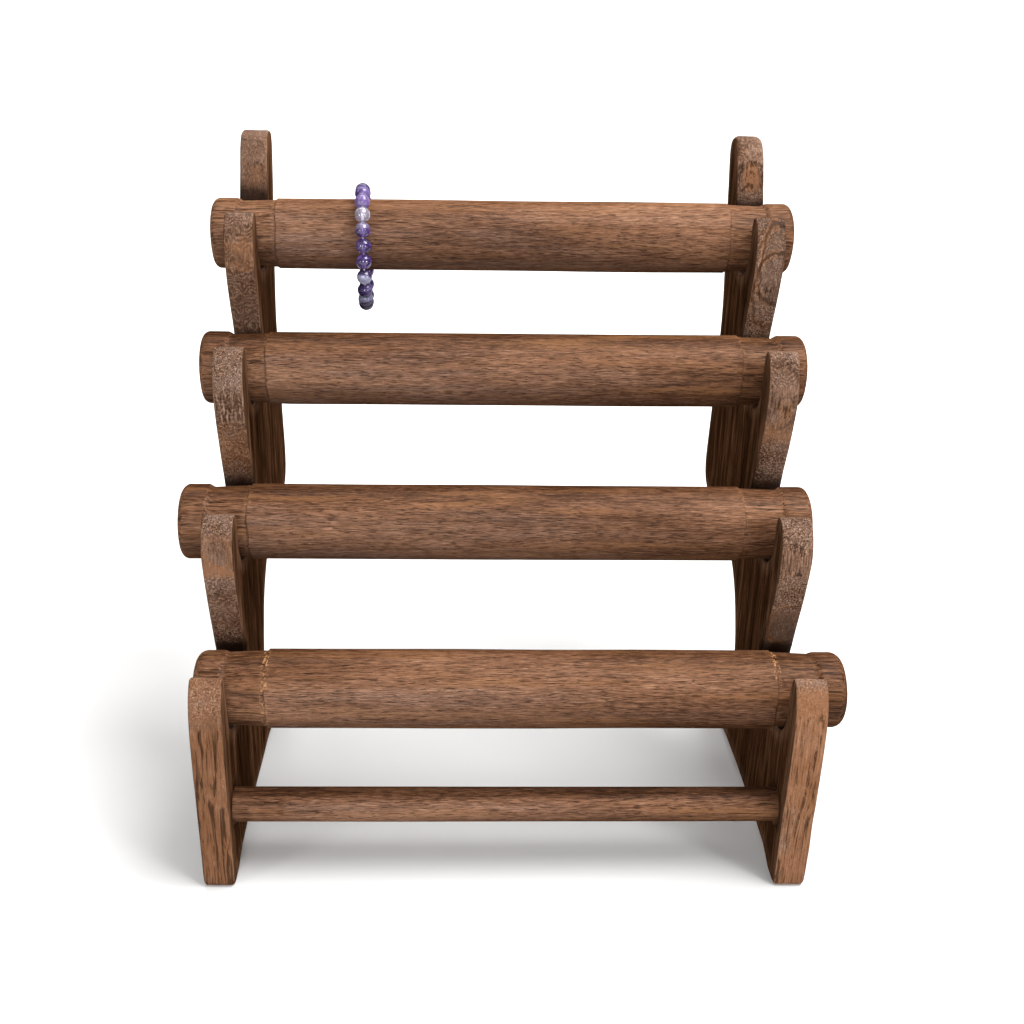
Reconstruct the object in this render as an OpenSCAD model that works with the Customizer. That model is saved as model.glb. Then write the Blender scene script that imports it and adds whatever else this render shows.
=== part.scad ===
// Crystal bead bracelet hung on a four-bar wooden display stand.
// X runs along the bars, +Y to the back, +Z up. The origin is on the table,
// under the middle of the whole.

/* [Stand] */
// Distance between the outer faces of the two side boards
stand_w = 288; // [240:1:360]
// Thickness of each side board
board_t = 15; // [12:0.5:18]
// Height of the lowest bar's centre above the table
first_bar_z = 91.5; // [90:0.5:110]
// Rise from each bar to the next, from the lowest up
tier_rises = [62, 62, 58];
// Setback from one bar to the next
tier_run = 54; // [53:0.5:57]

/* [Bars] */
// Diameter of a bar
bar_d = 37.3; // [34:0.1:37.5]
// Length of each bar over its rounded ends, from the lowest up
bar_lengths = [304.7, 307, 307, 307];
// Depth of the shallow neck turned near each end, where it meets the knob
neck_depth = 1.6; // [1:0.1:2]
// Length of the neck
neck_l = 21; // [18:0.5:24]
// Length of the rounded knob outside the neck
knob_l = 12.5; // [10:0.5:14]
// Rounding at the end of the knob
knob_round = 4; // [2:0.5:6]
// How far a bar has slid sideways in its notches, from the lowest bar to the top one
bar_slides = [6.1, -5, -0.6, -0.6];

/* [Rail] */
// Diameter of the rail between the feet
rail_d = 16.6; // [12:0.2:17]
// Height of the rail's centre above the table
rail_z = 37.5; // [30:0.5:40]
// Depth of the socket that holds each end of the rail
socket_depth = 8; // [5:0.5:10]

/* [Bracelet] */
// Number of beads
bead_count = 21; // [20:1:24]
// Diameter of a bead
bead_d = 8; // [7:0.1:8]
// Diameter of the hole drilled through a bead
bead_bore = 1.3; // [1.2:0.1:2]
// Gap between one bead and the next
bead_gap = 0.12; // [0.1:0.01:0.3]
// Diameter of the elastic cord
cord_d = 0.6; // [0.4:0.1:0.6]
// Place of the bracelet along the top bar, from the middle of the stand
bracelet_x = -74.8; // [-105:0.1:105]
// How far the loop is turned from square across the bar, in degrees
bracelet_turn = 2.6; // [0:0.1:5]
// How far the loop leans sideways from hanging upright, in degrees
bracelet_lean = 0.8; // [0:0.1:1.5]

/* [Hidden] */
$fn = 64;
// Running gap between pieces that rest on each other
seat_gap = 0.3;
bead_seat_gap = 0.25;
tiers = 4;
top_tier = tiers - 1;
bar_r = bar_d / 2;
notch_r = bar_r + seat_gap;
inner_x = stand_w / 2 - board_t;
// How far behind the lowest bar the rail is centred, so it is in front of it
rail_y = -16.5;
rail_end_gap = 0.3;
rail_socket_gap = 0.2;

// The loop of beads is a stadium that hangs over the top bar, with both ends
// round and of the same radius. The chord from bead to bead is the same all round.
loop_r = bar_r + bead_d / 2 + bead_seat_gap;
bead_pitch = 2 * loop_r * asin((bead_d + bead_gap) / 2 / loop_r) * PI / 180;
loop_drop = (bead_count * bead_pitch - 2 * PI * loop_r) / 2;
quarter_arc = PI * loop_r / 2;
// Distance along the loop from its top to the first bead, towards the front
first_bead_s = 4.7;
// The cord bends on its way through each straight hole, so it runs a little
// outside the bead centres and stays clear of the hole's wall at both ends
cord_outset = 0.17;

bead_names = [for (i = [1:bead_count]) str("bead_", i < 10 ? "0" : "", i)];
bar_names = ["bar_bottom", "bar_second", "bar_third", "bar_top"];

// Outlines of a side board, seen from its side.
// Each row is [distance behind the bar's centre, height above the bar's centre].

// The horn in front of a bar, from its foot up to the height of the bar, drawn for a rise
// of 61
horn_front = [[-18.2, -63], [-20.3, -57], [-23.3, -46.5], [-27.8, -34], [-32.2, -20], [-35, -7]];
// Its tip, from there up and down into the notch
horn_tip = [[-34.4, 3], [-31, 12.2], [-26, 16.8], [-21.2, 16], [-notch_r, 11]];
// How high each tip reaches as a share of the one drawn, from the second bar up, since
// they are shaped by hand
tip_heights = [0.84, 1.07, 0.93];
// The lowest horn, from where it grows out of the leg
lowest_horn_front = [[-33.6, -14], [-33.6, -3], [-32.4, 6.5], [-29, 14.6],
                     [-24.6, 19.8], [-20.8, 18.5], [-notch_r, 12.5]];
// The narrow ledge behind the notch, up to the foot of the next horn
ledge = [[20.2, -2.6], [25, -2.2], [30, -2.2], [33, -1.6]];
// The post behind the top bar: its front face, rounded top and upper back
post_front = [[notch_r, 0], [20.2, 8], [23.4, 18], [28, 30], [33, 41.5], [36.6, 46.6], [41.5, 48.2],
              [48.5, 47.8], [52.4, 44.2], [51.6, 33], [46.4, 9], [39.6, -23], [35.2, -52]];

// Each row is [distance behind the lowest bar's centre, height above the table].

// The back of the board under the post, down to the corner over the cut-out
board_back = [[200, 186], [203, 156], [206, 133], [203.8, 120.5], [195, 113.5]];
// The hollow cut-out behind the leg, forward to the leg and back over the heel
cut_out = [[176, 112], [150, 111.6], [129, 108.8], [113, 100.8], [99.2, 86.7], [89.2, 62.4], [88.6, 53],
           [92.6, 44], [103, 38], [121, 34], [138, 30], [151, 23.5], [159, 13.5], [162, 2]];
// The low arch under the board, from the heel forward to the front of the foot
floor_arch = [[160, 0], [132, 0], [118, 2.2], [85, 5.8], [45, 7], [15, 6.6],
               [-6, 4.8], [-18, 0], [-29.5, 0]];
// The front of the leg, from the foot up to the lowest horn
leg_front = [[-31, 1.5], [-31.5, 18], [-32.4, 42], [-33.4, 62]];

// A smooth curve through the points, by Catmull and Rom's formula
function curve_at(a, b, c, d, t) = 0.5 * (2 * b + (c - a) * t + (2 * a - 5 * b + 4 * c - d) * t * t
                                   + (3 * b - a - 3 * c + d) * t * t * t);
function smooth(points, steps) =
    let (last = len(points) - 1)
    concat([for (i = [0:last - 1], j = [0:steps - 1])
            curve_at(points[max(i - 1, 0)], points[i], points[i + 1], points[min(i + 2, last)], j / steps)],
           [points[last]]);

function moved(points, offset) = [for (p = points) p + offset];
function rise_to(tier) = tier == 0 ? 0 : rise_to(tier - 1) + tier_rises[tier - 1];
function bar_at(tier) = [tier * tier_run, first_bar_z + rise_to(tier)];
function horn(tier) = concat([for (p = horn_front) [p[0], p[1] * tier_rises[tier - 1] / 61]],
                             [for (p = horn_tip) [p[0], p[1] * tip_heights[tier - 1]]]);

// The round bottom of a notch, from its front wall under the bar to its back wall
function notch(tier, end_angle) = [for (a = [180:10:end_angle]) bar_at(tier) + notch_r * [cos(a), sin(a)]];

curve_steps = 4;
ledge_angle = 350;
outline = concat(
    leg_front,
    smooth(moved(lowest_horn_front, bar_at(0)), curve_steps),
    [for (tier = [0:top_tier - 1]) each concat(
        notch(tier, ledge_angle),
        smooth(concat(moved(ledge, bar_at(tier)), moved(horn(tier + 1), bar_at(tier + 1))), curve_steps))],
    notch(top_tier, ledge_angle),
    smooth(concat(moved(post_front, bar_at(top_tier)), board_back, cut_out), curve_steps),
    floor_arch);

// The board reaches farthest to the front and to the back of the whole stand
board_ys = [for (p = outline) p[0]];
y_mid = (min(board_ys) + max(board_ys)) / 2;
top_bar_y = bar_at(top_tier)[0] - y_mid;
top_bar_z = bar_at(top_tier)[1];

// Turns a shape drawn in X and Y so that X becomes Y, Y becomes Z and Z becomes X
module to_side() {
    rotate([90, 0, 90]) children();
}

module side_board(side) {
    inner_face = side * inner_x;
    color("#6f4930")
    difference() {
        translate([min(inner_face, side * stand_w / 2), -y_mid, 0])
            to_side() linear_extrude(board_t) polygon(outline);
        translate([inner_face, rail_y - y_mid, rail_z])
            rotate([0, 90, 0])
            cylinder(d = rail_d + 2 * rail_socket_gap, h = 2 * socket_depth, center = true);
    }
}

module rail() {
    length = 2 * (inner_x + socket_depth - rail_end_gap);
    color("#7a4f35")
    translate([0, rail_y - y_mid, rail_z])
        rotate([0, 90, 0]) cylinder(d = rail_d, h = length, center = true);
}

// Half of a bar's profile: radius across, distance from the middle up. The neck is cut
// half as deep at the bar's body as at the knob.
body_shoulder = 0.8;
knob_shoulder = 3;
function half_bar(half_l) =
    let (neck_out = half_l - knob_l, neck_in = neck_out - neck_l)
    concat([[bar_r, neck_in - body_shoulder], [bar_r - neck_depth / 2, neck_in],
            [bar_r - neck_depth, neck_out - knob_shoulder], [bar_r, neck_out]],
           [for (a = [0:15:90]) [bar_r - knob_round, half_l - knob_round] + knob_round * [cos(a), sin(a)]],
           [[0, half_l]]);

module bar(tier) {
    half = half_bar(bar_lengths[tier] / 2);
    other_half = [for (i = [len(half) - 1:-1:0]) [half[i][0], -half[i][1]]];
    color("#744a31")
    translate([bar_slides[tier], bar_at(tier)[0] - y_mid, bar_at(tier)[1]])
        rotate([0, 90, 0]) rotate_extrude() polygon(concat(other_half, half));
}

// Point and heading of the bead string at a distance s from its top, towards the front
function arc_point(s, up) =
    let (a = s / loop_r * 180 / PI) [-loop_r * sin(a), up + loop_r * cos(a), a + 180];
function loop_at(s) =
    s < quarter_arc ? arc_point(s, 0)
    : s < quarter_arc + loop_drop ? [-loop_r, quarter_arc - s, 270]
    : s < 3 * quarter_arc + loop_drop ? arc_point(s - loop_drop, -loop_drop)
    : s < 3 * quarter_arc + 2 * loop_drop ? [loop_r, s - 3 * quarter_arc - 2 * loop_drop, 90]
    : arc_point(s - 2 * loop_drop, 0);

module on_top_bar() {
    translate([bracelet_x, top_bar_y, top_bar_z]) rotate([0, 0, bracelet_turn])
        rotate([0, -bracelet_lean, 0]) children();
}

bead_colors = ["#7d5aa8", "#9a7cc0", "#cfc6d6", "#8f6fb8", "#5a3a92", "#53348c", "#8d84b4",
               "#40307a", "#7c7894", "#4c4166", "#4a3380"];

module bead(i) {
    place = loop_at(first_bead_s + (i - 1) * bead_pitch);
    color(bead_colors[(i - 1) % len(bead_colors)])
    on_top_bar() translate([0, place[0], place[1]]) rotate([place[2] - 90, 0, 0])
        difference() {
            sphere(d = bead_d);
            cylinder(d = bead_bore, h = bead_d + 1, center = true);
        }
}

module cord_half(turn, up) {
    translate([0, 0, up]) rotate([turn, 0, 0])
        to_side() rotate_extrude(angle = 180) translate([loop_r + cord_outset, 0]) circle(d = cord_d);
}

module elastic_cord() {
    color("#e8e6ea")
    on_top_bar() {
        cord_half(0, 0);
        cord_half(180, -loop_drop);
        for (side = [-1, 1])
            translate([0, side * (loop_r + cord_outset), -loop_drop]) cylinder(d = cord_d, h = loop_drop);
    }
}

side_board(-1);  // side_board_left
side_board(1);  // side_board_right
rail();
for (tier = [0:top_tier]) bar(tier);
elastic_cord();
for (i = [1:bead_count]) bead(i);
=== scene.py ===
import math

import bpy
import numpy as np
from mathutils import Matrix, Vector, geometry


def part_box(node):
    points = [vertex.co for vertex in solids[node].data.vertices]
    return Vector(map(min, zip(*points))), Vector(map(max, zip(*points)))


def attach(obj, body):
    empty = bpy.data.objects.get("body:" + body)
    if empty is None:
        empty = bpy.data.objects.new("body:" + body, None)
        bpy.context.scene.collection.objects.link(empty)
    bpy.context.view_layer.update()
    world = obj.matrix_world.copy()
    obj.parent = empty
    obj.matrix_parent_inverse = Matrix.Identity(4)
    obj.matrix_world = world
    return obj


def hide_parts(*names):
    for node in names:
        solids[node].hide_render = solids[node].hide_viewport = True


# Amethyst bead bracelet over the top bar of a stepped wooden stand.
# Metres: X along the bars, +Y to the back, +Z up, floor at z = 0.

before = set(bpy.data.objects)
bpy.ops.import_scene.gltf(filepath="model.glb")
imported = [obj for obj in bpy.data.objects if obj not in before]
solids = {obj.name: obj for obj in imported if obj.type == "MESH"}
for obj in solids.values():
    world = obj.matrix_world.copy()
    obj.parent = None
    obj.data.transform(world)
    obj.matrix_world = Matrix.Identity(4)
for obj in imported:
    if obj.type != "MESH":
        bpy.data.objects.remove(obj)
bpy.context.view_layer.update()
print("solids loaded:", len(solids))

view = dict(
    place=(-0.0252, -0.59814, 0.4077),
    pitch=22.82,  # degrees below the level
    yaw=1.496,  # degrees to the right
    roll=-0.913,
    lens=43.82,  # mm, on a sensor of the next width
    sensor=36,
    shift=(0.026, -0.0223),
    clip=(0.01, 30),
)


def linked(data):
    # an object of the same name in the scene
    thing = bpy.data.objects.new(data.name, data)
    bpy.context.collection.objects.link(thing)
    return thing


def aimCamera(look):
    # forward = (sin yaw cos pitch, cos yaw cos pitch, -sin pitch), then the frame is rolled about it
    pitch, yaw, roll = (math.radians(look[k]) for k in ("pitch", "yaw", "roll"))
    ahead = Vector((math.sin(yaw) * math.cos(pitch), math.cos(yaw) * math.cos(pitch), -math.sin(pitch)))
    level = Vector((math.cos(yaw), -math.sin(yaw), 0))
    down = ahead.cross(level)
    right = level * math.cos(roll) + down * math.sin(roll)
    up = level * math.sin(roll) - down * math.cos(roll)
    turn = Matrix((right, up, -ahead)).transposed().to_4x4()
    lens = bpy.data.cameras.new("camera")
    lens.lens, lens.sensor_width = look["lens"], look["sensor"]
    lens.shift_x, lens.shift_y = look["shift"]
    lens.clip_start, lens.clip_end = look["clip"]
    camera = linked(lens)
    camera.matrix_world = Matrix.Translation(look["place"]) @ turn
    bpy.context.scene.camera = camera


aimCamera(view)
print("camera placed")


# mesh helpers

def gridFaces(rows, columns, closeRows=False, closeColumns=False):
    # quads between neighbours of a rows x columns grid, numbered row by row
    r = np.arange(rows if closeRows else rows - 1)
    c = np.arange(columns if closeColumns else columns - 1)
    r, c = np.meshgrid(r, c, indexing="ij")
    r2, c2 = (r + 1) % rows, (c + 1) % columns
    corners = [r * columns + c, r * columns + c2, r2 * columns + c2, r2 * columns + c]
    return np.stack(corners, -1).reshape(-1, 4)


def gridPoints(x, y, z):
    # the points that those faces join
    return np.stack(np.broadcast_arrays(x, y, z), -1).reshape(-1, 3)


def fanFaces(ring, tip):
    # triangles from a closed ring of points to one point
    return np.stack([ring, np.roll(ring, -1), np.full(len(ring), tip)], -1)


def normalOf(points, faces):
    # (b - a) x (c - a) with each face's first three corners
    a, b, c = (points[faces[..., k]] for k in range(3))
    return np.cross(b - a, c - a)


def newObject(name, points, faces, finish):
    # smooth faces between the points
    mesh = bpy.data.meshes.new(name)
    mesh.from_pydata(points.tolist(), [], faces)
    mesh.polygons.foreach_set("use_smooth", np.ones(len(mesh.polygons), bool))
    mesh.materials.append(finish)
    mesh.validate()
    return linked(mesh)


def makePiece(name, points, quads, triangles, finish, replaced):
    # one closed surface; if its faces look inwards they are all turned round
    quads = np.asarray(quads, int).reshape(-1, 4)
    triangles = np.asarray(triangles, int).reshape(-1, 3)
    halves = np.concatenate([quads[:, [0, 1, 2]], quads[:, [0, 2, 3]], triangles])
    if ((points[halves[:, 0]] - points.mean(0)) * normalOf(points, halves)).sum() < 0:
        quads, triangles = quads[:, ::-1], triangles[:, ::-1]
    piece = newObject(name, points, quads.tolist() + triangles.tolist(), finish)
    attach(piece, "root")
    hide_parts(replaced)
    return piece


def rodOf(node):
    # the middle of a rod along X in (y, z), its radius, half its length and its middle in x
    low, high = np.array(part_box(node))
    return (low[1:] + high[1:]) / 2, (high[2] - low[2]) / 2, (high[0] - low[0]) / 2, (high[0] + low[0]) / 2


def circle(count):
    # angles round a circle
    return np.linspace(0, 2 * np.pi, count, endpoint=False)


def smoothStep(low, high, value):
    # 3 t^2 - 2 t^3, where t is the share of the way from low to high
    t = np.clip((value - low) / (high - low), 0, 1)
    return t * t * (3 - 2 * t)


def ripples(seed, first, second, reach, closed, count=14):
    # sum of sines sin(a first + b second + phase) with random a and b up to reach, scaled to about -1..1;
    # where closed is true, b is a whole number, so that second may be an angle
    rng = np.random.default_rng(seed)
    total = np.zeros(np.broadcast(first, second).shape)
    for _ in range(count):
        a = rng.uniform(-1, 1) * reach[0]
        b = rng.integers(-reach[1], reach[1] + 1) if closed else rng.uniform(-1, 1) * reach[1]
        total = total + np.sin(a * first + b * second + rng.uniform(0, 2 * np.pi))
    usualPeak = 1.4
    return total / math.sqrt(count) / usualPeak


def between(*fields):
    # ripples brought to about 0..1
    return 0.5 + 0.5 * ripples(*fields)


# shader helpers

class Wire:
    # one output socket; arithmetic on wires adds Math nodes
    def __init__(self, finish, socket):
        self.finish, self.socket = finish, socket

    def maths(self, operation, *values):
        return self.finish.add("ShaderNodeMath", dict(enumerate((self, *values))), operation=operation)

    def __add__(self, other):
        return self.maths("ADD", other)

    def __sub__(self, other):
        return self.maths("SUBTRACT", other)

    def __rsub__(self, other):
        return self.maths("MULTIPLY", -1).maths("ADD", other)

    def __mul__(self, other):
        return self.maths("MULTIPLY", other)

    def __abs__(self):
        return self.maths("ABSOLUTE")

    __radd__, __rmul__ = __add__, __mul__


class Finish:
    # a material under construction
    def __init__(self, name):
        self.material = bpy.data.materials.new(name)
        self.material.use_nodes = True
        self.tree = self.material.node_tree
        self.tree.nodes.clear()
        self.place = self.add("ShaderNodeTexCoord", output="Object")

    def moved(self, shift):
        return self.add("ShaderNodeMapping", {"Vector": self.place, "Location": shift})

    def part(self, vector, axis):
        return self.add("ShaderNodeSeparateXYZ", {0: vector}, axis)

    def facing(self, axis):
        # how far the surface looks along that axis, from -1 to 1
        return self.part(self.add("ShaderNodeNewGeometry", output="Normal"), axis)

    def rim(self):
        # 0 where the surface is seen straight on, 1 at its outline
        return self.add("ShaderNodeLayerWeight", {"Blend": 0.5}, "Facing")

    def ramp(self, stops, value):
        return self.add("ShaderNodeValToRGB", {0: value}, stops=stops)

    def add(self, kind, sockets=None, output=0, **settings):
        # the settings are set before the values or links of the sockets
        node = self.tree.nodes.new(kind)
        for key, value in settings.items():
            if key == "stops":
                stops = node.color_ramp.elements
                while len(stops) < len(value):
                    stops.new(1)
                for stop, (position, colour) in zip(stops, value):
                    stop.position, stop.color = position, (*colour, 1)
            else:
                setattr(node, key, value)
        for key, value in (sockets or {}).items():
            if isinstance(value, Wire):
                self.tree.links.new(value.socket, node.inputs[key])
            else:
                node.inputs[key].default_value = value
        return Wire(self, node.outputs[output]) if node.outputs else None

    def vector(self, operation, a, b, output=0):
        return self.add("ShaderNodeVectorMath", {0: a, 1: b}, output, operation=operation)

    def noise(self, place, scales, detail=2, roughness=0.5, output=0):
        spread = self.vector("MULTIPLY", place, scales)
        sockets = {"Vector": spread, "Scale": 1, "Detail": detail, "Roughness": roughness}
        return self.add("ShaderNodeTexNoise", sockets, output)

    def noises(self, place, look, *names):
        return (self.noise(place, *look[name]) for name in names)

    def spots(self, place, pattern, low, high):
        # where that noise passes from low to high
        return self.step(self.noise(place, *pattern), low, high)

    def wander(self, place, pattern, reach):
        # the place moved by a coloured noise, so that straight fibres sway
        drift = self.vector("SUBTRACT", self.noise(place, *pattern, 1), (0.5, 0.5, 0.5))
        return self.vector("ADD", place, self.vector("MULTIPLY", drift, reach))

    def step(self, value, low, high):
        # 0 below low, 1 above high, smooth between
        sockets = {0: value, 1: low, 2: high}
        return self.add("ShaderNodeMapRange", sockets, interpolation_type="SMOOTHSTEP")

    def blend(self, share, a, b, how="MIX"):
        a, b = (c if isinstance(c, Wire) else (*c, 1) for c in (a, b))
        return self.add("ShaderNodeMix", {0: share, 6: a, 7: b}, 2, data_type="RGBA", blend_type=how)

    def bump(self, height, depth):
        return self.add("ShaderNodeBump", {"Height": height, "Distance": depth}, "Normal")

    def surface(self, sockets):
        return self.add("ShaderNodeBsdfPrincipled", sockets)

    def oiled(self, colour, roughness, gloss, height, look):
        # wood that shines only through its thin coat of oil
        return self.done(self.surface({
            "Base Color": colour, "Roughness": roughness, "Specular IOR Level": 0.0,
            "Coat Weight": gloss * look["sheen"], "Coat Roughness": look["coatRoughness"],
            "Normal": self.bump(height, look["relief"])}))

    def done(self, shader, **inside):
        self.add("ShaderNodeOutputMaterial", {"Surface": shader, **inside})
        return self.material


# wood

# noises here and below are (how many a metre along x, y and z, detail, roughness)
barLook = dict(
    colours=[(0.2, (0.026, 0.01, 0.004)), (0.38, (0.08, 0.034, 0.016)), (0.52, (0.14, 0.064, 0.033)),
             (0.66, (0.215, 0.106, 0.058)), (0.84, (0.34, 0.19, 0.112))],
    golden=(0.235, 0.105, 0.042),  # patches where the wood is more yellow
    greyed=(0.15, 0.088, 0.064),  # grey laid over faces that don't look up, partly grey patches of the wood, partly a painted sheen
    crumb=(0.42, 0.215, 0.095),  # torn wood at the shoulders of the necks
    pore=(0.018, 0.007, 0.003),
    drift=((26, 110, 110), 3, 0.6),
    sway=(0, 0.0022, 0.0022),  # how far the fibres wander
    broad=((9, 40, 40), 3, 0.55),
    streak=((30, 700, 700), 4, 0.7),
    fine=((150, 2600, 2600), 3, 0.7),
    pores=((170, 2000, 2000), 2, 0.5),
    patches=((12, 150, 150), 3, 0.6),
    turnedLines=((40, 800, 800), 3, 0.6),
    crumbs=((700, 600, 600), 2, 0.5),
    middleTone=0.51,  # of the ramp of colours
    contrast=(0.6, 0.5, 1.1),  # of the broad, streak and fine noises
    rightSide=(-0.05, 0.12),  # x over which the right side begins
    shoulderZone=(0.0008, 0.0022),  # from the shoulder, where the torn wood ends
    turnedZone=0.003,
    paintedUnderShade=0.45,  # how much darker the faces that look down are painted, as shade
    sheen=0.11,  # of the oiled surface, seen straight on
    coatRoughness=0.42,
    relief=0.0002,
)
# how torn the wood is at the necks, the painted light (top bar) or painted shade (the others) on upward
# faces, the painted shade low on the right, and how the tone changes on the left
barTones = dict(
    bar_bottom=(1.0, -0.04, -0.22, 0.0),
    bar_second=(0.15, -0.14, -0.06, 0.0),
    bar_third=(0.15, -0.14, -0.08, -0.02),
    bar_top=(0.15, 0.06, -0.11, 0.0),
    rail=(0.0, -0.19, -0.09, 0.09),
)


def barFinish(name, node, look, shift):
    # fibres along X: long soft streaks, short dark pores, and coarse turned lines beyond the necks' start
    make = Finish(name)
    place = make.moved((shift, 0, 0))
    fibre = make.wander(place, look["drift"], look["sway"])
    broad, patch = make.noises(place, look, "broad", "patches")
    streak, fine = make.noises(fibre, look, "streak", "fine")
    pore = make.spots(fibre, look["pores"], 0.59, 0.66)
    torn, paintedToneAbove, paintedShadeLowRight, left = barTones[node]
    facing = make.facing("Z")
    x = make.part(make.place, "X")
    right = make.step(x, *look["rightSide"])
    low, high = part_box(node)
    necks = (high[0] - low[0]) / 2 - bars["knobLength"] - bars["neckLength"]
    along = abs(x - (low[0] + high[0]) / 2)
    turned = make.step(along, necks, necks + look["turnedZone"])
    broadly, streaky, finely = look["contrast"]
    tone = look["middleTone"] + (broad - 0.5) * broadly + (streak - 0.5) * streaky + (fine - 0.5) * finely
    # painted light and shade: upward faces lighter on the top bar, darker on the lower bars and the rail, and
    # lower faces darker on the right
    tone = tone + make.step(facing, 0.72, 0.95) * paintedToneAbove + right * make.step(facing, 0.7, 0.1) * paintedShadeLowRight
    tone = tone + make.step(x, 0.0, -0.12) * left
    colour = make.ramp(look["colours"], tone)
    colour = make.blend(make.step(patch, 0.5, 0.72) * 0.45, colour, look["golden"])
    # painted sheen: faces that don't look up, mostly on the left and short of the necks, are greyed, more so
    # in random patches
    paintedGreySheen = make.step(facing, 0.95, 0.45) * (1 - right * 0.75) * (1 - turned * 0.8)
    paintedGreySheen = paintedGreySheen * (0.28 + make.step(patch, 0.55, 0.35) * 0.42)
    colour = make.blend(paintedGreySheen, colour, look["greyed"], "COLOR")
    line = make.spots(fibre, look["turnedLines"], 0.54, 0.62) * turned
    shoulder = 1 - make.step(abs(along - necks), *look["shoulderZone"])
    crumb = make.spots(place, look["crumbs"], 0.5, 0.6) * shoulder * torn
    crumb = crumb * (1 - right * make.step(facing, 0.85, 0.5))
    colour = make.blend(pore * 0.66 * (1 - turned * 0.4) + line * 0.6, colour, look["pore"])
    colour = make.blend(crumb * 0.75, colour, look["crumb"])
    # painted shade: faces that look down are darkened towards the pore colour
    colour = make.blend(make.step(facing, 0.05, -0.85) * look["paintedUnderShade"], colour, look["pore"])
    height = fine * 0.6 + streak * 0.5 - pore * 0.9 - line * 1.2 + crumb * 0.8
    return make.oiled(colour, 0.52 + fine * 0.2 + pore * 0.2, make.step(make.rim(), 0.7, 0.3), height, look)


boardLook = dict(
    colours=[(0.14, (0.016, 0.007, 0.004)), (0.34, (0.056, 0.027, 0.015)), (0.5, (0.118, 0.062, 0.038)),
             (0.66, (0.2, 0.116, 0.076)), (0.88, (0.36, 0.235, 0.165))],
    # the dark side colours are painted shade for the inner sides; the outer side and the worn edges take
    # mostly the edge colours
    shadedSideColours=[(0.25, (0.008, 0.003, 0.001)), (0.5, (0.034, 0.014, 0.006)), (0.75, (0.1, 0.046, 0.022))],
    edgeColours=[(0.25, (0.026, 0.012, 0.006)), (0.5, (0.072, 0.035, 0.019)), (0.75, (0.15, 0.075, 0.042))],
    rubbed=(0.25, 0.105, 0.043),  # smooth orange brown where hands have rubbed it
    greyed=(0.125, 0.092, 0.08),  # and the grey of dry end grain
    cut=(0.11, 0.07, 0.052),  # the browner grey of the knife's facets
    paintedGlint=(0.33, 0.235, 0.18),  # pale grains of the end grain, painted bright as glints
    scuff=(0.3, 0.165, 0.095),  # wear along the long edges
    deep=(0.01, 0.004, 0.002),
    lineGap=0.00098,  # of the finger-print lines, before the surface cuts them
    curl=0.0078,  # how strongly those lines wind
    climb=0.3,  # and how much they follow the height
    drift=((80, 80, 22), 2, 0.5),
    sway=(0.003, 0.003, 0),
    clouds=((130, 130, 130), 3, 0.6),
    winding=((135, 135, 85), 2, 0.45),
    breaks=((500, 500, 500), 2, 0.6),
    grain=((1000, 1000, 60), 4, 0.68),
    thin=((1900, 1900, 150), 2, 0.6),
    grit=((1300, 1300, 1300), 2, 0.6),
    base=((60, 60, 40), 3, 0.6),
    cracks=((620, 620, 17), 3, 0.62),
    bands=((300, 150, 7), 3, 0.6),
    sideGrain=((1000, 1000, 40), 4, 0.68),
    sheen=0.1,
    coatRoughness=0.42,
    relief=0.0003,
)


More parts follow.
